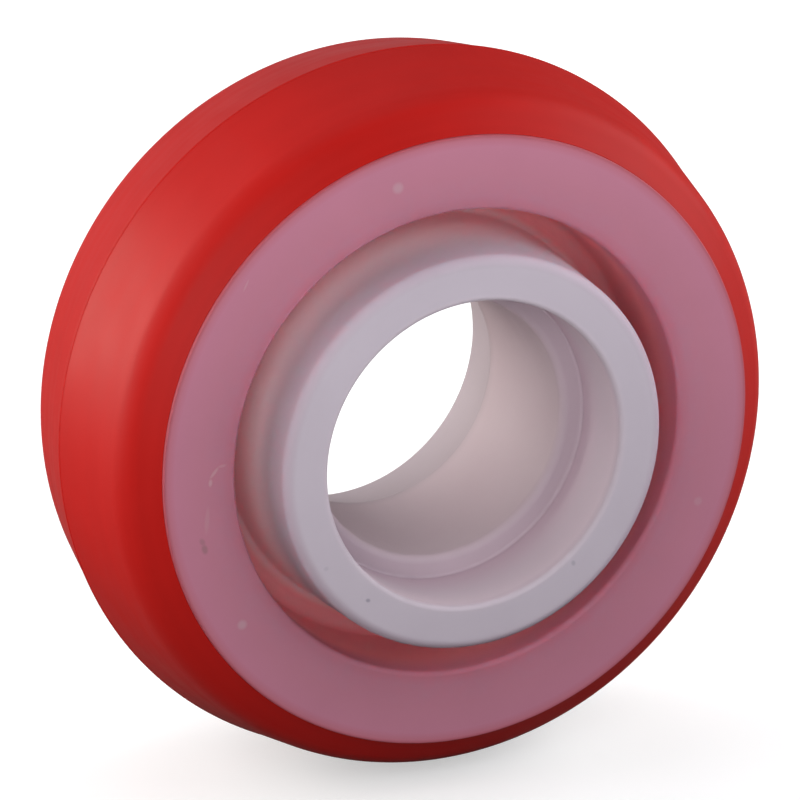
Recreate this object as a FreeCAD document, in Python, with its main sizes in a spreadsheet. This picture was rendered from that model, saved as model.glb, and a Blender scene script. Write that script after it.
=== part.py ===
"""Wheel: a red polyurethane tyre moulded onto a one-piece white plastic centre.

The wheel spins about Y, its mid-plane is Y = 0, its front faces -Y and its centre is the origin.
Sizes are in millimetres and degrees. Every section lies in the YZ plane: the first value of a corner
is its place along the axle and the second its radius.
"""
import FreeCAD, Part
import Sketcher
import os

SIZES = {
    # Hub and its two bearing seats, with a narrower land left between them
    "hub_length": 36.0,
    "hub_diameter": 41.2,
    "seat_diameter": 32.0,
    "seat_depth": 9.0,
    "land_step": 2.25,
    # Rim, the recess left between it and the hub on each side, and the web at the foot of both recesses
    "rim_width": 28.25,
    "recess_width": 3.75,
    "web_thickness": 7.0,
    # Draft of the moulded walls on both sides of the web, from the mould's parting at the mid-plane
    "draft_angle": 3.0,
    # Channel round the rim that keys the tyre, as deep as this share of the rim's thickness
    "key_width": 13.0,
    "key_depth_share": 0.314,
    "key_flank_angle": 20.0,
    # Tyre: two shallow cones that meet in a ridge over the mid-plane, and sides that fall to the foot
    # of the rim's rounded outer edge
    "tyre_diameter": 75.0,
    "tyre_thickness": 5.5,
    "tread_slope": 11.0,
    "shoulder_inset": 2.675,
    # Flat left at the foot of a recess between its two rounded corners
    "recess_flat": 0.2,
    # Rounded edges
    "hub_round": 0.5,
    "rim_inner_round": 0.5,
    "rim_outer_round": 0.3,
    "seat_mouth_round": 0.5,
    "shoulder_round": 4.5,
}
# How closely an edge has to match the radius and place it is looked up by
EDGE_MATCH = 1e-4

doc = FreeCAD.newDocument("wheel")
sheet = doc.addObject("Spreadsheet::Sheet", "Sizes")
for row, (alias, value) in enumerate(SIZES.items(), start=1):
    sheet.set(f"A{row}", alias)
    sheet.set(f"B{row}", str(value))
    sheet.setAlias(f"B{row}", alias)
doc.recompute()

# Formulas on the sheet that several features share
HUB_FACE = "Sizes.hub_length / 2"
HUB_RADIUS = "Sizes.hub_diameter / 2"
SEAT_RADIUS = "Sizes.seat_diameter / 2"
LAND_RADIUS = f"{SEAT_RADIUS} - Sizes.land_step"
TYRE_RADIUS = "Sizes.tyre_diameter / 2"
RIM_FACE = "Sizes.rim_width / 2"
RIM_RADIUS = f"{TYRE_RADIUS} - Sizes.tyre_thickness"
RIM_BORE_RADIUS = f"{HUB_RADIUS} + Sizes.recess_width"
WEB_FACE = "Sizes.web_thickness / 2"
TYRE_EDGE = f"{RIM_FACE} - Sizes.rim_outer_round"
TREAD_EDGE = f"{TYRE_EDGE} - Sizes.shoulder_inset"
SHOULDER_RADIUS = f"{TYRE_RADIUS} - ({TREAD_EDGE}) * tan(Sizes.tread_slope)"


def hub_wall(axial):
    """Radius of the hub's drafted outside at this distance from the mid-plane."""
    return f"{HUB_RADIUS} + ({HUB_FACE} - ({axial})) * tan(Sizes.draft_angle)"


def rim_wall(axial):
    """Radius of the rim's drafted inside at this distance from the mid-plane."""
    return f"{RIM_BORE_RADIUS} - ({RIM_FACE} - ({axial})) * tan(Sizes.draft_angle)"


def both_sides(corners):
    """The outline of a section from half of it: the corners, then their mirror images in reverse."""
    return corners + [(f"-({axial})", radius) for axial, radius in reversed(corners) if axial != "0"]


WEB_FILLET = f"(({rim_wall(WEB_FACE)}) - ({hub_wall(WEB_FACE)}) - Sizes.recess_flat) / 2"
KEY_DEPTH = f"(({RIM_RADIUS}) - ({RIM_BORE_RADIUS})) * Sizes.key_depth_share"
KEY_FOOT = f"Sizes.key_width / 2 - {KEY_DEPTH} * tan(Sizes.key_flank_angle)"
KEY_SECTION = both_sides([
    (KEY_FOOT, f"{RIM_RADIUS} - {KEY_DEPTH}"),
    ("Sizes.key_width / 2", RIM_RADIUS),
])


def size(formula):
    """Value of a formula on the sheet."""
    return float(sheet.evalExpression(formula))


def origin_plane(body, role):
    return next(plane for plane in body.Origin.OriginFeatures if plane.Role == role)


def section(body, name, corners):
    """Closed sketch in the YZ plane, with each corner held by two dimensions from the origin."""
    sketch = body.newObject("Sketcher::SketchObject", name)
    sketch.AttachmentSupport = (origin_plane(body, "YZ_Plane"), [""])
    sketch.MapMode = "FlatFace"
    points = [FreeCAD.Vector(size(axial), size(radius), 0) for axial, radius in corners]
    for start, end in zip(points, points[1:] + points[:1]):
        sketch.addGeometry(Part.LineSegment(start, end))
    for line in range(len(points)):
        sketch.addConstraint(Sketcher.Constraint("Coincident", line, 2, (line + 1) % len(points), 1))
    for line, (point, formulas) in enumerate(zip(points, corners)):
        for direction, value, formula in zip(("DistanceX", "DistanceY"), point, formulas):
            rule = sketch.addConstraint(Sketcher.Constraint(direction, -1, 1, line, 1, value))
            sketch.setExpression(f"Constraints[{rule}]", formula)
    return sketch


def turned(body, kind, name, corners):
    """Feature that turns a section about the axle: Revolution adds it and Groove cuts it."""
    sketch = section(body, f"{name}_section", corners)
    feature = body.newObject(f"PartDesign::{kind}", name)
    feature.Profile = sketch
    feature.ReferenceAxis = (sketch, ["H_Axis"])
    doc.recompute()
    return feature


def mirrored(body, name, feature):
    """The same feature on the other side of the mid-plane."""
    mirror = body.newObject("PartDesign::Mirrored", name)
    mirror.Originals = [feature]
    mirror.MirrorPlane = (origin_plane(body, "XZ_Plane"), [""])
    body.Tip = mirror
    doc.recompute()
    return mirror


def round_edges(shape, axial, radius):
    """Names of the round edges of this radius, at this distance on both sides of the mid-plane."""
    names = []
    for number, edge in enumerate(shape.Edges, start=1):
        curve = edge.Curve
        if not isinstance(curve, Part.Circle):
            continue
        place_error = abs(abs(curve.Center.y) - size(axial))
        radius_error = abs(curve.Radius - size(radius))
        if max(place_error, radius_error) < EDGE_MATCH:
            names.append(f"Edge{number}")
    return names


def eased(body, name, places, radius_formula):
    """Fillet on the round edges at the given places of the body as it is so far."""
    base = body.Tip
    feature = body.newObject("PartDesign::Fillet", name)
    edges = [edge for axial, radius in places for edge in round_edges(base.Shape, axial, radius)]
    feature.Base = (base, edges)
    feature.setExpression("Radius", radius_formula)
    doc.recompute()
    return feature


def make_wheel_centre():
    """Hub, web and rim in one moulding, with a seat for a ball bearing at each end of the hub."""
    body = doc.addObject("PartDesign::Body", "wheel_centre")
    body.Label = "wheel_centre"
    turned(body, "Revolution", "hub", both_sides([
        ("0", hub_wall("0")),
        (HUB_FACE, HUB_RADIUS),
        (HUB_FACE, LAND_RADIUS),
    ]))
    turned(body, "Revolution", "web", both_sides([
        (WEB_FACE, HUB_RADIUS),
        (WEB_FACE, RIM_BORE_RADIUS),
    ]))
    turned(body, "Revolution", "rim", both_sides([
        ("0", rim_wall("0")),
        (RIM_FACE, RIM_BORE_RADIUS),
        (RIM_FACE, RIM_RADIUS),
    ]))
    turned(body, "Groove", "key_channel", KEY_SECTION)
    seat_floor = f"{HUB_FACE} - Sizes.seat_depth"
    seat = turned(body, "Groove", "rear_seat", [
        (seat_floor, LAND_RADIUS),
        (HUB_FACE, LAND_RADIUS),
        (HUB_FACE, SEAT_RADIUS),
        (seat_floor, SEAT_RADIUS),
    ])
    mirrored(body, "front_seat", seat)
    web_corners = [(WEB_FACE, hub_wall(WEB_FACE)), (WEB_FACE, rim_wall(WEB_FACE))]
    eased(body, "web_corners", web_corners, WEB_FILLET)
    eased(body, "hub_edges", [(HUB_FACE, HUB_RADIUS)], "Sizes.hub_round")
    eased(body, "rim_inner_edges", [(RIM_FACE, RIM_BORE_RADIUS)], "Sizes.rim_inner_round")
    eased(body, "rim_outer_edges", [(RIM_FACE, RIM_RADIUS)], "Sizes.rim_outer_round")
    eased(body, "seat_mouths", [(HUB_FACE, SEAT_RADIUS)], "Sizes.seat_mouth_round")
    return body


def make_tyre():
    """Tyre bonded to the rim, with a rib inside that fills the rim's key channel."""
    body = doc.addObject("PartDesign::Body", "tyre")
    body.Label = "tyre"
    turned(body, "Revolution", "tread", both_sides([
        ("0", TYRE_RADIUS),
        (TREAD_EDGE, SHOULDER_RADIUS),
        (TYRE_EDGE, RIM_RADIUS),
    ]))
    turned(body, "Revolution", "key_rib", KEY_SECTION)
    eased(body, "shoulders", [(TREAD_EDGE, SHOULDER_RADIUS)], "Sizes.shoulder_round")
    return body


def check(bodies):
    """Stop if any feature failed or any piece isn't one sound solid."""
    for item in doc.Objects:
        if "Invalid" in item.State or "Error" in item.State:
            raise RuntimeError(f"{item.Name} did not build: {item.State}")
    for body in bodies:
        shape = body.Shape
        if shape.isNull() or not shape.isValid() or len(shape.Solids) != 1:
            raise RuntimeError(f"{body.Label} is not one valid solid")


def main():
    bodies = [make_wheel_centre(), make_tyre()]
    doc.recompute()
    check(bodies)
    os.makedirs("parts", exist_ok=True)
    for body in bodies:
        body.Shape.exportStep(f"parts/{body.Label}.step")


main()
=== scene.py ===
"""Looks of the wheel: a red polyurethane tyre on a milky white plastic centre, in a pale studio."""
import math

import bpy
import numpy as np
from bpy.props import FloatProperty, FloatVectorProperty, PointerProperty
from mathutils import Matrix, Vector


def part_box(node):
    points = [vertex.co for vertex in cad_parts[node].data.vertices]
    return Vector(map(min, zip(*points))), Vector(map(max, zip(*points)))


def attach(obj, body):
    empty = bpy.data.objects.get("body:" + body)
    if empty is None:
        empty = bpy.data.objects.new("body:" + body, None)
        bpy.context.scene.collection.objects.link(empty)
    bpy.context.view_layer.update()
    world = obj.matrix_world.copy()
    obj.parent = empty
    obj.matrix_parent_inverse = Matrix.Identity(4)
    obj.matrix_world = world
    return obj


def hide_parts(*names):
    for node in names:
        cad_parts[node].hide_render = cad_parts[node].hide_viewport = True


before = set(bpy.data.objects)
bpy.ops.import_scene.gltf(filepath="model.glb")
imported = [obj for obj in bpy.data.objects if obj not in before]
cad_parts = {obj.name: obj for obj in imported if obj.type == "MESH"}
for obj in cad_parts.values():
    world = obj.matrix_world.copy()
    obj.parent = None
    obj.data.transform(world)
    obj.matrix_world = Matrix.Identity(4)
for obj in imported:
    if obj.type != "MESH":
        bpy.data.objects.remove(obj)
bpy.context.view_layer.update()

bl_info = {
    "name": "Wheel with a polyurethane tyre",
    "version": (1, 0, 0),
    "blender": (4, 5, 0),
    "location": "3D View > Sidebar > Wheel",
    "description": "Builds the wheel's centre, its tyre and a plain studio around the packed part",
    "category": "Object",
}

CENTRE_LOW, CENTRE_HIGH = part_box("wheel_centre")
TYRE_LOW, TYRE_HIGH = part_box("tyre")
MM = 0.001
# Places round the axle, points on a rounded corner and points on a straight run of a section
TURN_STEPS = 256
ARC_STEPS = 8
RUN_STEPS = 10
# Rounding of the corners that look sharp, on the centre and on the tyre
CENTRE_SHARP = 0.08 * MM
TYRE_SHARP = 0.04 * MM


def length(name, description, default):
    """Property for a length in metres."""
    return FloatProperty(
        name=name, description=description, default=default,
        unit="LENGTH", subtype="DISTANCE", precision=5,
    )


def angle(name, description, default):
    """Property for an angle, given here in degrees."""
    return FloatProperty(
        name=name, description=description, default=math.radians(default),
        unit="ROTATION", subtype="ANGLE",
    )


def colour(name, description, default):
    """Property for a linear colour."""
    return FloatVectorProperty(
        name=name, description=description, default=default,
        subtype="COLOR", size=3, min=0.0, max=1.0,
    )


def factor(name, description, default):
    """Property for a share from 0 to 1."""
    return FloatProperty(
        name=name, description=description, default=default, subtype="FACTOR", min=0.0, max=1.0
    )


class WheelCentreSettings(bpy.types.PropertyGroup):
    """Sizes and colours of the white centre."""

    hub_length: length("Hub length", "From face to face", CENTRE_HIGH.y - CENTRE_LOW.y)
    hub_radius: length("Hub radius", "Outside of the hub at its faces", 20.6 * MM)
    hub_edge: length("Hub edge", "Rounding of the hub's outer edges", 1.0 * MM)
    seat_radius: length("Seat radius", "Wall of each bearing seat", 16.0 * MM)
    seat_depth: length("Seat depth", "From a hub face to the land", 9.0 * MM)
    seat_mouth: length("Seat mouth", "Rounding where a seat opens in a hub face", 0.5 * MM)
    seat_corner: length("Seat corner", "Rounding at the foot of a seat", 0.3 * MM)
    land_radius: length("Land radius", "Bore left between the two seats", 13.75 * MM)
    land_edge: length("Land edge", "Rounding of the land's edges", 0.8 * MM)
    rim_radius: length("Rim radius", "Outside of the rim, under the tyre", CENTRE_HIGH.x)
    rim_bore_radius: length("Rim bore radius", "Inside of the rim at its faces", 24.35 * MM)
    rim_width: length("Rim width", "From face to face", 28.25 * MM)
    rim_outer_edge: length("Rim outer edge", "Rounding beside the tyre", 0.15 * MM)
    rim_inner_edge: length("Rim inner edge", "Rounding beside the recess", 0.5 * MM)
    web_thickness: length("Web thickness", "Between the floors of the two recesses", 7.0 * MM)
    recess_flat: length("Recess flat", "Left between the two corners of a recess", 0.2 * MM)
    draft: angle("Draft", "Slope of the moulded walls in the recesses", 3.0)
    key_width: length("Key width", "Channel round the rim, at its mouth", 13.0 * MM)
    key_depth: length("Key depth", "Channel round the rim", 2.4 * MM)
    key_flank: angle("Key flank", "Slope of the channel's sides", 20.0)
    hub_colour: colour("Hub", "Milky white of the hub", (0.53, 0.463, 0.527))
    # Painted light: a warmer white than the hub's, which stands in for the warm light bounced about
    # inside the bore
    painted_bore_light: colour("Bore", "Handled, warmer white of the bore", (0.67, 0.56, 0.61))
    rim_colour: colour("Rim", "Pink, where the red tyre shines through", (0.475, 0.185, 0.254))
    # Painted glow: a bright rose that stands in for the red light reaching the recess walls through
    # the tyre and the plastic
    painted_recess_glow: colour("Recess", "Deeper rose of the recess walls", (0.85, 0.295, 0.325))
    roughness: factor("Roughness", "Satin of the moulded surface", 0.42)
    gloss: factor("Gloss", "Strength of the reflections", 0.27)
    glow: factor("Glow", "Share of light that spreads inside the recess walls", 0.75)
    glow_reach: length("Glow reach", "How far light spreads inside them", 8.0 * MM)


class WheelTyreSettings(bpy.types.PropertyGroup):
    """Sizes and colours of the red tyre."""

    crown_radius: length("Crown radius", "Ridge over the mid-plane", TYRE_HIGH.z)
    foot_width: length("Foot width", "Tyre where it meets the rim", TYRE_HIGH.y - TYRE_LOW.y)
    foot_radius: length("Foot radius", "Tyre where it meets the rim", CENTRE_HIGH.x)
    tread_slope: angle("Tread slope", "Fall of the tread from its ridge", 11.0)
    shoulder_inset: length("Shoulder inset", "From the foot to the edge of the tread", 2.675 * MM)
    shoulder_round: length("Shoulder round", "Rounding of the edge of the tread", 4.5 * MM)
    seam_height: length("Seam height", "Mould seam along the ridge", 0.03 * MM)
    seam_width: length("Seam width", "Mould seam along the ridge", 0.4 * MM)
    tyre_colour: colour("Tyre", "Red of the tyre", (0.43, 0.010, 0.0077))
    roughness: factor("Roughness", "Satin of the tyre", 0.40)
    gloss: factor("Gloss", "Strength of the reflections", 0.155)


class WheelStageSettings(bpy.types.PropertyGroup):
    """Floor, light and camera."""

    floor_colour: colour("Floor", "Pale floor", (0.62, 0.62, 0.62))
    focal_length: length("Focal length", "Lens on a 36 mm sensor", 315.0 * MM)
    camera_distance: length("Camera distance", "From the wheel's centre", 0.7123)
    camera_azimuth: angle("Camera azimuth", "Round the wheel from its front", -24.14)
    camera_elevation: angle("Camera elevation", "Above the axle", 19.37)


def rounded_section(corners):
    """Points round a closed section, from rows of axial place, radius and rounding.

    An arc's centre lies on the corner's bisector, at rounding / sin(half the corner's angle) from
    the corner, and the arc touches the two sides rounding / tan(half the angle) from it. The arc
    is swept between its two spokes by spherical interpolation. The run to the next arc is divided
    at cosine-spaced places, closest near its ends.
    """
    place, rounding = corners[:, :2], corners[:, 2:]
    to_last = np.roll(place, 1, axis=0) - place
    to_next = np.roll(place, -1, axis=0) - place
    to_last /= np.linalg.norm(to_last, axis=1, keepdims=True)
    to_next /= np.linalg.norm(to_next, axis=1, keepdims=True)
    half = np.arccos(np.clip((to_last * to_next).sum(axis=1, keepdims=True), -1, 1)) / 2
    first = place + to_last * rounding / np.tan(half)
    last = place + to_next * rounding / np.tan(half)
    bisector = to_last + to_next
    bisector /= np.linalg.norm(bisector, axis=1, keepdims=True)
    centre = place + bisector * rounding / np.sin(half)
    start, end = (first - centre)[:, None], (last - centre)[:, None]
    sweep = (np.pi - 2 * half)[:, None]
    along = np.linspace(0, 1, ARC_STEPS)[None, :, None]
    spokes = np.sin((1 - along) * sweep) * start + np.sin(along * sweep) * end
    arcs = centre[:, None] + spokes / np.sin(sweep)
    along = (0.5 - 0.5 * np.cos(np.linspace(0, np.pi, RUN_STEPS + 2)))[None, 1:-1, None]
    runs = last[:, None] * (1 - along) + np.roll(first, -1, axis=0)[:, None] * along
    return np.concatenate([arcs, runs], axis=1).reshape(-1, 2)


def quads_between(rings, next_rings):
    """Corner numbers of the quads that join rings of points to the next rings, closed all round."""
    corners = [rings, next_rings, np.roll(next_rings, -1, axis=1), np.roll(rings, -1, axis=1)]
    return np.stack(corners, axis=-1).reshape(-1, 4)


def placed(name, data):
    """A new object in the scene."""
    item = bpy.data.objects.new(name, data)
    bpy.context.scene.collection.objects.link(item)
    return item


def turned_surface(name, section):
    """Closed surface of a section turned about the axle.

    A point at axial place a and radius r stands at (r cos t, a, r sin t) for each angle t, and
    neighbouring points are joined by quads that close round the section and round the axle.
    """
    axial, radius = section.T
    turn = np.arange(TURN_STEPS) * 2 * np.pi / TURN_STEPS
    grid = np.empty((len(section), TURN_STEPS, 3))
    grid[..., 0] = radius[:, None] * np.cos(turn)
    grid[..., 1] = axial[:, None]
    grid[..., 2] = radius[:, None] * np.sin(turn)
    number = np.arange(grid[..., 0].size).reshape(grid.shape[:2])
    quads = quads_between(number, np.roll(number, -1, axis=0))
    mesh = bpy.data.meshes.new(name)
    mesh.vertices.add(number.size)
    mesh.vertices.foreach_set("co", grid.astype(np.float32).ravel())
    mesh.loops.add(quads.size)
    mesh.loops.foreach_set("vertex_index", quads.astype(np.int32).ravel())
    mesh.polygons.add(len(quads))
    mesh.polygons.foreach_set("loop_start", np.arange(0, quads.size, 4, dtype=np.int32))
    mesh.update(calc_edges=True)
    mesh.polygons.foreach_set("use_smooth", np.ones(len(quads), dtype=bool))
    if mesh.validate():
        raise RuntimeError(f"{name} has faulty faces")
    return placed(name, mesh)


def both_sides(half):
    """A whole section from the rows of its rear half, mirrored to the front in reverse."""
    return np.concatenate([half, half[::-1] * (-1, 1, 1)])


def centre_corners(s):
    """Corners of the centre's section as axial place, radius and rounding."""
    slope = math.tan(s.draft)
    hub_face, rim_face, web_face = s.hub_length / 2, s.rim_width / 2, s.web_thickness / 2
    seat_foot = hub_face - s.seat_depth
    hub_foot = s.hub_radius + (hub_face - web_face) * slope
    rim_foot = s.rim_bore_radius - (rim_face - web_face) * slope
    web_round = (rim_foot - hub_foot - s.recess_flat) / 2
    key_foot = s.key_width / 2 - s.key_depth * math.tan(s.key_flank)
    return both_sides(np.array([
        (key_foot, s.rim_radius - s.key_depth, CENTRE_SHARP),
        (s.key_width / 2, s.rim_radius, CENTRE_SHARP),
        (rim_face, s.rim_radius, s.rim_outer_edge),
        (rim_face, s.rim_bore_radius, s.rim_inner_edge),
        (web_face, rim_foot, web_round),
        (web_face, hub_foot, web_round),
        (hub_face, s.hub_radius, s.hub_edge),
        (hub_face, s.seat_radius, s.seat_mouth),
        (seat_foot, s.seat_radius, s.seat_corner),
        (seat_foot, s.land_radius, s.land_edge),
    ]))


def tyre_corners(s, centre):
    """Corners of the tyre's section as axial place, radius and rounding, with a seam on its ridge."""
    slope = math.tan(s.tread_slope)
    foot = s.foot_width / 2
    edge = foot - s.shoulder_inset
    key_foot = centre.key_width / 2 - centre.key_depth * math.tan(centre.key_flank)
    return both_sides(np.array([
        (s.seam_width / 4, s.crown_radius + s.seam_height, TYRE_SHARP),
        (s.seam_width / 2, s.crown_radius - s.seam_width / 2 * slope, TYRE_SHARP),
        (edge, s.crown_radius - edge * slope, s.shoulder_round),
        (foot, s.foot_radius, TYRE_SHARP),
        (centre.key_width / 2, s.foot_radius, TYRE_SHARP),
        (key_foot, s.foot_radius - centre.key_depth, TYRE_SHARP),
    ]))


# Painted light and shade in the bore: place along the axle in millimetres, from the front, and share
# of its colour. Painted shade over the mouth's rounding, painted light just inside the mouth, and
# painted shade at the foot of the front seat and in the rear seat
BORE_REACH = (-18.0, 18.0)
BORE_PAINTED_LIGHT_AND_SHADE = (
    (-17.784, (0.84, 0.86, 0.89)),
    (-17.424, (1.12, 1.12, 1.14)),
    (-16.74, (1.20, 1.20, 1.20)),
    (-13.68, (1.06, 1.06, 1.07)),
    (-9.72, (0.92, 0.84, 0.88)),
    (-9.0, (0.70, 0.66, 0.69)),
    (-7.92, (0.94, 0.91, 0.88)),
    (7.2, (0.90, 0.87, 0.84)),
    (10.08, (0.69, 0.69, 0.67)),
)
# Painted light and shade on the rim's face: distance from the axle in millimetres and share of its
# colour. Painted shade at the inner edge beside the recess, painted light a little inside the outer
# edge, and over the outer rounding a painted red glow from the tyre with painted shade over its
# highlight
RIM_REACH = (24.0, 32.0)
RIM_PAINTED_LIGHT_AND_SHADE = (
    (24.4, (0.96, 0.86, 0.86)),
    (25.76, (0.97, 1.03, 1.03)),
    (28.0, (1.00, 1.00, 1.00)),
    (30.8, (1.05, 1.05, 1.08)),
    (31.6, (1.02, 0.86, 0.86)),
    (32.0, (0.86, 0.40, 0.38)),
)
# Painted light and shade on the hub's outer wall, as shares of the hub's colour: painted shade beside
# its face and over its rounded edge, and a painted red glow at its foot in the recess
WALL_TOP_PAINTED_SHADE = (0.88, 0.81, 0.84)
WALL_FOOT_PAINTED_GLOW = (1.60, 1.38, 1.30)
# Where one tone of the centre gives way to the next, in millimetres from the axle
HUB_TO_BORE = (16.9, 16.1)
HUB_TO_WALL = (19.3, 20.4)
WALL_TO_RECESS = (21.2, 22.4)
RECESS_TO_RIM = (22.5, 23.5)
# The same in millimetres from the mid-plane
WALL_TOP_TO_FOOT = (16.5, 8.0)
RECESS_TO_FACE = (9.5, 14.0)
# Where light starts and stops to spread inside the plastic, in millimetres from the axle, and how
# far each colour of it goes
GLOW_START = (20.3, 20.8)
GLOW_STOP = (24.6, 28.5)
GLOW_SPREAD = (1.0, 0.25, 0.25)

# Colours of the marks on the front faces
MARK_COLOURS = {
    "gate": (0.54, 0.45, 0.485),
    "scuff": (0.54, 0.38, 0.39),
    "dirt": (0.16, 0.115, 0.11),
    "speck": (0.13, 0.125, 0.18),
}
# Marks: finish, face, x and z of the middle in millimetres, turn in degrees, half length and half
# width in millimetres, strength
MARKS = (
    ("gate", "rim", -6.76, 27.63, 0, 0.80, 0.80, 0.32),
    ("gate", "rim", -23.75, -15.71, 0, 0.70, 0.70, 0.36),
    ("gate", "rim", 26.74, -10.20, 0, 0.65, 0.65, 0.17),
    ("scuff", "rim", -26.60, 0.78, 130, 0.95, 0.24, 0.45),
    ("scuff", "rim", -27.02, -0.22, 95, 0.55, 0.28, 0.50),
    ("scuff", "rim", -25.75, 1.38, 174, 0.60, 0.22, 0.30),
    ("scuff", "rim", -27.42, -4.10, 95, 1.90, 0.36, 0.18),
    ("scuff", "rim", -23.05, 19.75, 117, 0.90, 0.14, 0.30),
    ("dirt", "rim", -27.94, -6.30, 60, 0.60, 0.38, 0.28),
    ("dirt", "rim", -27.70, -7.10, 75, 0.75, 0.45, 0.40),
    ("speck", "hub", -11.78, -13.64, 20, 0.36, 0.28, 0.50),
    ("speck", "hub", 10.85, -13.15, 70, 0.42, 0.32, 0.30),
    ("speck", "hub", -16.30, -9.57, 0, 0.38, 0.32, 0.14),
)
# How far a mark reaches along the axle, and the share of its reach over which it is full
MARK_DEPTH = 1.0 * MM
MARK_CORE = 0.3


class Nodes:
    """Short ways to add linked shader nodes to a new material."""

    def __init__(self, name):
        self.material = bpy.data.materials.new(name)
        self.material.use_nodes = True
        self.tree = self.material.node_tree
        self.tree.nodes.clear()
        self.shader = self.tree.nodes.new("ShaderNodeBsdfPrincipled")
        output = self.tree.nodes.new("ShaderNodeOutputMaterial")
        self.link(self.shader.outputs["BSDF"], output.inputs["Surface"])
        self.place = self.tree.nodes.new("ShaderNodeTexCoord").outputs["Object"]

    def link(self, source, target):
        """Link an output to an input."""
        self.tree.links.new(source, target)

    def put(self, target, value):
        """Link a socket to an input, or set a plain value on it."""
        if isinstance(value, bpy.types.NodeSocket):
            self.link(value, target)
        else:
            target.default_value = value

    def math(self, operation, *values):
        """The result of a sum on sockets or plain numbers."""
        node = self.tree.nodes.new("ShaderNodeMath")
        node.operation = operation
        for target, value in zip(node.inputs, values):
            self.put(target, value)
        return node.outputs["Value"]

    def ramp(self, value, low, high, to_low=0.0, to_high=1.0, smooth=True):
        """A step from to_low at low to to_high at high, eased at both ends if smooth."""
        node = self.tree.nodes.new("ShaderNodeMapRange")
        node.interpolation_type = "SMOOTHSTEP" if smooth else "LINEAR"
        given = {
            "Value": value, "From Min": low, "From Max": high, "To Min": to_low, "To Max": to_high
        }
        for name, setting in given.items():
            self.put(node.inputs[name], setting)
        return node.outputs["Result"]

    def step(self, value, places, to_low=0.0, to_high=1.0):
        """An eased step between two places in millimetres."""
        low, high = places
        return self.ramp(value, low * MM, high * MM, to_low, to_high)

    def mix(self, share, first, second, blend="MIX"):
        """A blend of two colours by a share."""
        node = self.tree.nodes.new("ShaderNodeMix")
        node.data_type = "RGBA"
        node.blend_type = blend
        self.put(node.inputs["Factor"], share)
        for socket, value in zip(("A_Color", "B_Color"), (first, second)):
            target = next(i for i in node.inputs if i.identifier == socket)
            self.put(target, value if isinstance(value, bpy.types.NodeSocket) else (*value, 1.0))
        return next(o for o in node.outputs if o.identifier == "Result_Color")

    def noise(self, size, detail=2.0, place=None):
        """Noise with features of about this size, in metres."""
        node = self.tree.nodes.new("ShaderNodeTexNoise")
        self.put(node.inputs["Vector"], place or self.place)
        node.inputs["Scale"].default_value = 1.0 / size
        node.inputs["Detail"].default_value = detail
        return node.outputs["Fac"]

    def tones(self, value, reach, tone, rows):
        """A colour that passes through shares of a tone, at places in millimetres in a reach."""
        low, high = reach
        node = self.tree.nodes.new("ShaderNodeValToRGB")
        elements = node.color_ramp.elements
        while len(elements) < len(rows):
            elements.new(1.0)
        for element, (place, share) in zip(elements, rows):
            element.position = (place - low) / (high - low)
            element.color = (*tinted(tone, share), 1.0)
        self.link(self.ramp(value, low * MM, high * MM, smooth=False), node.inputs["Fac"])
        return node.outputs["Color"]

    def spot(self, middle, turn, long, wide, strength):
        """Share of a soft oval spot on a face: full at the middle, none from its edge outwards."""
        node = self.tree.nodes.new("ShaderNodeMapping")
        node.vector_type = "TEXTURE"
        self.link(self.place, node.inputs["Vector"])
        node.inputs["Location"].default_value = middle
        node.inputs["Rotation"].default_value = (0.0, turn, 0.0)
        node.inputs["Scale"].default_value = (long, MARK_DEPTH, wide)
        far = self.tree.nodes.new("ShaderNodeVectorMath")
        far.operation = "LENGTH"
        self.link(node.outputs["Vector"], far.inputs[0])
        return self.ramp(far.outputs["Value"], 1.0, MARK_CORE, 0.0, strength)

    def wheel_places(self):
        """Distance from the axle, place along it and distance from the mid-plane."""
        split = self.tree.nodes.new("ShaderNodeSeparateXYZ")
        self.link(self.place, split.inputs["Vector"])
        squares = [self.math("MULTIPLY", split.outputs[a], split.outputs[a]) for a in "XZ"]
        radius = self.math("SQRT", self.math("ADD", *squares))
        return radius, split.outputs["Y"], self.math("ABSOLUTE", split.outputs["Y"])

    def pair(self, first, second):
        """A place made of two distances."""
        node = self.tree.nodes.new("ShaderNodeCombineXYZ")
        self.link(first, node.inputs["X"])
        self.link(second, node.inputs["Y"])
        return node.outputs["Vector"]

    def clouded(self, base, pattern, share, spread):
        """A colour made darker and lighter by a pattern of greys, spread about the middle one."""
        greys = self.mix(pattern, (0.5 - spread,) * 3, (0.5 + spread,) * 3)
        return self.mix(share, base, greys, "OVERLAY")

    def uneven_roughness(self, pattern, low, high, roughness, spread):
        """Roughness that follows a pattern, spread about its middle value."""
        uneven = self.ramp(pattern, low, high, roughness - spread, roughness + spread)
        self.link(uneven, self.shader.inputs["Roughness"])

    def bump(self, height, strength, distance):
        """Fine relief of the surface."""
        node = self.tree.nodes.new("ShaderNodeBump")
        node.inputs["Strength"].default_value = strength
        node.inputs["Distance"].default_value = distance
        self.link(height, node.inputs["Height"])
        self.link(node.outputs["Normal"], self.shader.inputs["Normal"])


def tinted(tone, share):
    """A colour with each channel multiplied by a share."""
    return tuple(np.multiply(tone, share))


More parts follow.
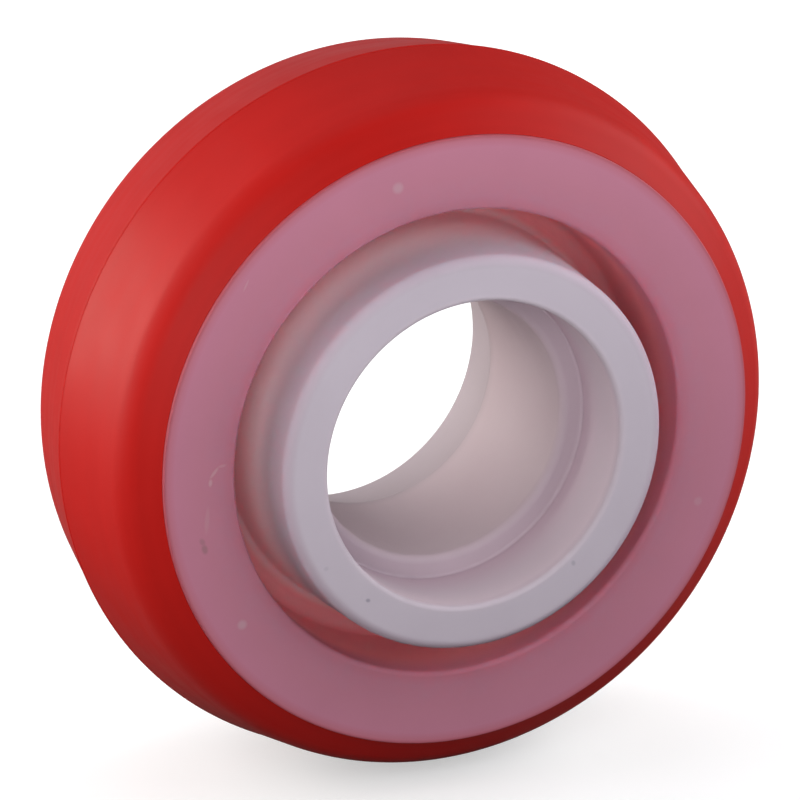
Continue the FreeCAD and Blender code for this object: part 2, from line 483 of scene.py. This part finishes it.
def milky_tone(nodes, s):
    """Colour of the milky plastic, and the distance from the axle.

    White on the hub; in the bore a warmer white with painted light just inside each mouth and painted
    shade deeper in; on the hub's outer wall painted shade beside the face and a painted red glow
    towards its foot; a painted red glow on the recess walls; and pink on the rim, painted where the
    tyre's red light shines through, with painted shade at the rim's inner edge, painted light a
    little inside its outer edge, and a painted red glow with painted shade over the edge beside the
    tyre.
    """
    radius, along, depth = nodes.wheel_places()
    # Painted light and shade in the bore, along the axle
    bore = nodes.tones(along, BORE_REACH, s.painted_bore_light, BORE_PAINTED_LIGHT_AND_SHADE)
    base = nodes.mix(nodes.step(radius, HUB_TO_BORE), s.hub_colour, bore)
    # Painted shade on the hub's outer wall beside its face, and a painted red glow towards its foot
    wall = nodes.mix(
        nodes.step(depth, WALL_TOP_TO_FOOT),
        tinted(s.hub_colour, WALL_TOP_PAINTED_SHADE),
        tinted(s.hub_colour, WALL_FOOT_PAINTED_GLOW),
    )
    base = nodes.mix(nodes.step(radius, HUB_TO_WALL), base, wall)
    # Painted red glow on the recess walls
    base = nodes.mix(nodes.step(radius, WALL_TO_RECESS), base, s.painted_recess_glow)
    rim = nodes.math(
        "MULTIPLY", nodes.step(depth, RECESS_TO_FACE), nodes.step(radius, RECESS_TO_RIM)
    )
    # Pink of the rim painted where the tyre shines through, with painted light and shade across its
    # face
    rim_painted_light = nodes.tones(radius, RIM_REACH, s.rim_colour, RIM_PAINTED_LIGHT_AND_SHADE)
    return nodes.mix(rim, base, rim_painted_light), radius


def marked(nodes, base, s):
    """The centre's colour with the marks on its front faces."""
    faces = {"rim": -s.rim_width / 2, "hub": -s.hub_length / 2}
    shares = {}
    for finish, face, x, z, turn, long, wide, strength in MARKS:
        middle = (x * MM, faces[face], z * MM)
        share = nodes.spot(middle, math.radians(turn), long * MM, wide * MM, strength)
        if finish in shares:
            share = nodes.math("MAXIMUM", shares[finish], share)
        shares[finish] = share
    for finish, share in shares.items():
        base = nodes.mix(share, base, MARK_COLOURS[finish])
    return base


def milky_plastic(s):
    """Milky white plastic with faint clouds, and with gate marks, scuffs and specks."""
    nodes = Nodes("milky_plastic")
    shader = nodes.shader.inputs
    base, radius = milky_tone(nodes, s)
    base = nodes.clouded(base, nodes.noise(9 * MM, detail=3.0), share=0.12, spread=0.25)
    nodes.link(marked(nodes, base, s), shader["Base Color"])
    nodes.uneven_roughness(nodes.noise(4 * MM), 0.2, 0.8, s.roughness, spread=0.06)
    nodes.bump(nodes.noise(0.35 * MM), strength=0.06, distance=0.05 * MM)
    shader["Specular IOR Level"].default_value = s.gloss
    start = nodes.step(radius, GLOW_START, 0.0, s.glow)
    stop = nodes.step(radius, GLOW_STOP, 1.0, 0.0)
    nodes.link(nodes.math("MULTIPLY", start, stop), shader["Subsurface Weight"])
    shader["Subsurface Radius"].default_value = GLOW_SPREAD
    shader["Subsurface Scale"].default_value = s.glow_reach
    return nodes.material


def red_polyurethane(s):
    """Satin red polyurethane with faint clouds and flow lines round the wheel."""
    nodes = Nodes("red_polyurethane")
    shader = nodes.shader.inputs
    radius, along, _ = nodes.wheel_places()
    flow = nodes.noise(1.6 * MM, place=nodes.pair(radius, along))
    base = nodes.clouded(s.tyre_colour, nodes.noise(7 * MM, detail=3.0), share=0.15, spread=0.2)
    base = nodes.clouded(base, flow, share=0.12, spread=0.3)
    nodes.link(base, shader["Base Color"])
    pattern = nodes.math("ADD", flow, nodes.noise(5 * MM))
    nodes.uneven_roughness(pattern, 0.6, 1.4, s.roughness, spread=0.06)
    nodes.bump(nodes.noise(0.6 * MM), strength=0.05, distance=0.05 * MM)
    shader["Specular IOR Level"].default_value = s.gloss
    return nodes.material


def finish_piece(piece, material, node):
    """Dress a piece and let it stand for its CAD node."""
    piece.data.materials.append(material)
    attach(piece, "root")
    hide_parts(node)


class WHEEL_OT_centre(bpy.types.Operator):
    """Make the white centre: hub, web and rim in one moulding."""

    bl_idname = "wheel.make_centre"
    bl_label = "Make wheel centre"

    def execute(self, context):
        s = context.scene.wheel_centre
        piece = turned_surface("wheel_centre_moulding", rounded_section(centre_corners(s)))
        finish_piece(piece, milky_plastic(s), "wheel_centre")
        return {"FINISHED"}


class WHEEL_OT_tyre(bpy.types.Operator):
    """Make the red tyre."""

    bl_idname = "wheel.make_tyre"
    bl_label = "Make tyre"

    def execute(self, context):
        s = context.scene.wheel_tyre
        corners = tyre_corners(s, context.scene.wheel_centre)
        piece = turned_surface("tyre_moulding", rounded_section(corners))
        finish_piece(piece, red_polyurethane(s), "tyre")
        return {"FINISHED"}


# Soft lamps: name, azimuth and elevation in degrees, distance and side in metres, spread in
# degrees, height over the axle that they face in metres, level, mirrored by gloss, colour. At
# level 1 a white surface that faces the lamp in the middle of its beam renders white.
LAMPS = (
    ("window_lamp", -117, 16, 0.20, 0.26, 180, 0.00, 1.22, False, (1.0, 1.0, 1.0)),
    ("window_sheen", -126, 13, 0.30, 0.16, 180, 0.00, 0.35, True, (1.0, 0.95, 0.85)),
    ("left_low_lamp", -100, 0, 0.24, 0.12, 180, 0.00, 0.18, False, (1.0, 1.0, 1.0)),
    ("left_fill", -34, 18, 0.15, 0.11, 90, 0.02, 0.62, False, (1.0, 1.0, 1.0)),
    ("front_fill", -18, 12, 0.35, 0.30, 180, 0.00, 0.34, False, (1.0, 1.0, 1.0)),
    ("right_fill", 42, 30, 0.13, 0.11, 90, 0.02, 0.62, False, (0.97, 1.02, 1.08)),
    ("right_lamp", 94, 17, 0.20, 0.16, 180, 0.00, 0.86, False, (1.0, 1.0, 1.0)),
    ("right_sheen", 80, 33, 0.35, 0.30, 180, 0.00, 0.13, True, (1.0, 1.0, 1.0)),
    ("top_lamp", 180, 68, 0.30, 0.30, 180, 0.00, 0.35, False, (0.97, 1.02, 1.08)),
    ("rear_lamp", 180, 8, 0.40, 0.40, 180, 0.00, 0.065, True, (0.95, 1.0, 1.08)),
)
# Half spread of the widest beam in degrees, just short of a right angle, which has no tangent
WIDEST_HALF_SPREAD = 89.9
# Share of the pale surroundings that gloss shows, and their level as light on the wheel
MIRRORED_SHARE = 0.08
SURROUNDINGS_LIGHT = 0.026
# Floor: points round it, radii of its rings in metres, and colour as light on the wheel
FLOOR_TURN_STEPS = 96
FLOOR_RINGS = (0.05, 0.2, 0.6, 1.5, 4.0)
FLOOR_BOUNCE = (0.06, 0.06, 0.06, 1.0)
# The floor brightens to white with distance from the wheel's centre: from and to in metres, levels
FLOOR_GLOW = {"From Min": 0.06, "From Max": 0.30, "To Min": 0.45, "To Max": 1.0}
# Camera: sensor in millimetres, picture in pixels, and the wheel's offset in it, right and up
SENSOR_WIDTH = 36.0
PICTURE_SIZE = 800
PICTURE_OFFSET = (2.07, -0.47)
NEAR_CLIP = 0.01


def direction(azimuth, elevation):
    """Unit vector from the wheel towards an azimuth round it, from its front, and an elevation."""
    return Vector((
        math.sin(azimuth) * math.cos(elevation),
        -math.cos(azimuth) * math.cos(elevation),
        math.sin(elevation),
    ))


def seen_directly(tree):
    """1 for camera and see-through rays, a small share for mirrored ones, 0 for other light."""
    path = tree.nodes.new("ShaderNodeLightPath")
    seen = path.outputs["Is Camera Ray"]
    for name, share in (("Is Transmission Ray", 1.0), ("Is Glossy Ray", MIRRORED_SHARE)):
        part = tree.nodes.new("ShaderNodeMath")
        part.operation = "MULTIPLY"
        part.inputs[1].default_value = share
        tree.links.new(path.outputs[name], part.inputs[0])
        most = tree.nodes.new("ShaderNodeMath")
        most.operation = "MAXIMUM"
        tree.links.new(seen, most.inputs[0])
        tree.links.new(part.outputs["Value"], most.inputs[1])
        seen = most.outputs["Value"]
    return seen


def pale_floor(s):
    """Pale floor that fades to white and throws little light on the wheel."""
    material = bpy.data.materials.new("pale_floor")
    material.use_nodes = True
    tree = material.node_tree
    tree.nodes.clear()
    seen = tree.nodes.new("ShaderNodeBsdfDiffuse")
    seen.inputs["Color"].default_value = (*s.floor_colour, 1.0)
    far = tree.nodes.new("ShaderNodeVectorMath")
    far.operation = "LENGTH"
    tree.links.new(tree.nodes.new("ShaderNodeTexCoord").outputs["Object"], far.inputs[0])
    rise = tree.nodes.new("ShaderNodeMapRange")
    rise.interpolation_type = "SMOOTHSTEP"
    for socket, value in FLOOR_GLOW.items():
        rise.inputs[socket].default_value = value
    tree.links.new(far.outputs["Value"], rise.inputs["Value"])
    glow = tree.nodes.new("ShaderNodeEmission")
    tree.links.new(rise.outputs["Result"], glow.inputs["Strength"])
    both = tree.nodes.new("ShaderNodeAddShader")
    tree.links.new(seen.outputs["BSDF"], both.inputs[0])
    tree.links.new(glow.outputs["Emission"], both.inputs[1])
    dim = tree.nodes.new("ShaderNodeBsdfDiffuse")
    dim.inputs["Color"].default_value = FLOOR_BOUNCE
    choice = tree.nodes.new("ShaderNodeMixShader")
    tree.links.new(seen_directly(tree), choice.inputs["Fac"])
    tree.links.new(dim.outputs["BSDF"], choice.inputs[1])
    tree.links.new(both.outputs["Shader"], choice.inputs[2])
    output = tree.nodes.new("ShaderNodeOutputMaterial")
    tree.links.new(choice.outputs["Shader"], output.inputs["Surface"])
    return material


def make_floor(s):
    """Round floor under the tyre: rings of points at (r cos t, r sin t), and a face inside them."""
    turn = np.arange(FLOOR_TURN_STEPS) * 2 * np.pi / FLOOR_TURN_STEPS
    rings = np.array(FLOOR_RINGS)[:, None]
    level = np.full((len(rings), len(turn)), TYRE_LOW.z)
    grid = np.stack([rings * np.cos(turn), rings * np.sin(turn), level], axis=-1)
    number = np.arange(level.size).reshape(level.shape)
    faces = quads_between(number[:-1], number[1:]).tolist() + [number[0].tolist()]
    mesh = bpy.data.meshes.new("studio_floor")
    mesh.from_pydata(grid.reshape(-1, 3), [], faces)
    mesh.materials.append(pale_floor(s))
    placed("studio_floor", mesh)


def make_world():
    """Pale surroundings that light the wheel only a little."""
    world = bpy.data.worlds.new("studio")
    world.use_nodes = True
    tree = world.node_tree
    background = tree.nodes["Background"]
    strength = tree.nodes.new("ShaderNodeMapRange")
    strength.inputs["To Min"].default_value = SURROUNDINGS_LIGHT
    strength.inputs["To Max"].default_value = 1.0
    tree.links.new(seen_directly(tree), strength.inputs["Value"])
    tree.links.new(strength.outputs["Result"], background.inputs["Strength"])
    background.inputs["Color"].default_value = (1.0, 1.0, 1.0, 1.0)
    bpy.context.scene.world = world


def make_lamps():
    """Soft square lamps that face the wheel.

    A lamp's beam fades to its half spread h, which makes its middle tan(h) / (tan(h) - h) times
    as bright.
    """
    for name, azimuth, elevation, distance, side, spread, height, level, mirrored, tint in LAMPS:
        data = bpy.data.lights.new(name, "AREA")
        data.shape = "SQUARE"
        data.size = side
        data.spread = math.radians(spread)
        half = math.radians(min(spread / 2, WIDEST_HALF_SPREAD))
        data.energy = level * (math.pi * distance) ** 2 * (1 - half / math.tan(half))
        data.color = tint
        lamp = placed(name, data)
        lamp.visible_camera = False
        lamp.visible_glossy = mirrored
        lamp.location = direction(math.radians(azimuth), math.radians(elevation)) * distance
        back = lamp.location - Vector((0, 0, height))
        lamp.rotation_euler = back.to_track_quat("Z", "Y").to_euler()


def make_camera(s):
    """Long lens at the wheel's left front."""
    data = bpy.data.cameras.new("camera")
    data.sensor_width = SENSOR_WIDTH
    data.lens = s.focal_length / MM
    data.shift_x, data.shift_y = (-offset / PICTURE_SIZE for offset in PICTURE_OFFSET)
    data.clip_start = NEAR_CLIP
    camera = placed("camera", data)
    towards = direction(s.camera_azimuth, s.camera_elevation)
    camera.location = towards * s.camera_distance
    camera.rotation_euler = towards.to_track_quat("Z", "Y").to_euler()
    bpy.context.scene.camera = camera


class WHEEL_OT_stage(bpy.types.Operator):
    """Make the floor, the light and the camera."""

    bl_idname = "wheel.make_stage"
    bl_label = "Make stage"

    def execute(self, context):
        s = context.scene.wheel_stage
        make_floor(s)
        make_world()
        make_lamps()
        make_camera(s)
        context.scene.view_settings.view_transform = "Standard"
        return {"FINISHED"}


class WHEEL_PT_panel(bpy.types.Panel):
    """The wheel's pieces and their sizes and colours."""

    bl_idname = "WHEEL_PT_panel"
    bl_label = "Wheel"
    bl_space_type = "VIEW_3D"
    bl_region_type = "UI"
    bl_category = "Wheel"

    def draw(self, context):
        for group, operator in PIECES:
            box = self.layout.box()
            box.operator(operator)
            settings = getattr(context.scene, group)
            for name in type(settings).__annotations__:
                box.prop(settings, name)


# Scene property and operator of each group, in the order they are made
PIECES = (
    ("wheel_centre", "wheel.make_centre"),
    ("wheel_tyre", "wheel.make_tyre"),
    ("wheel_stage", "wheel.make_stage"),
)
SETTINGS = (WheelCentreSettings, WheelTyreSettings, WheelStageSettings)
CLASSES = SETTINGS + (WHEEL_OT_centre, WHEEL_OT_tyre, WHEEL_OT_stage, WHEEL_PT_panel)


def register():
    for cls in CLASSES:
        bpy.utils.register_class(cls)
    for (group, _), settings in zip(PIECES, SETTINGS):
        setattr(bpy.types.Scene, group, PointerProperty(type=settings))


def unregister():
    for group, _ in PIECES:
        delattr(bpy.types.Scene, group)
    for cls in reversed(CLASSES):
        bpy.utils.unregister_class(cls)


def main():
    register()
    bpy.ops.wheel.make_centre()
    bpy.ops.wheel.make_tyre()
    bpy.ops.wheel.make_stage()


if __name__ == "__main__":
    main()
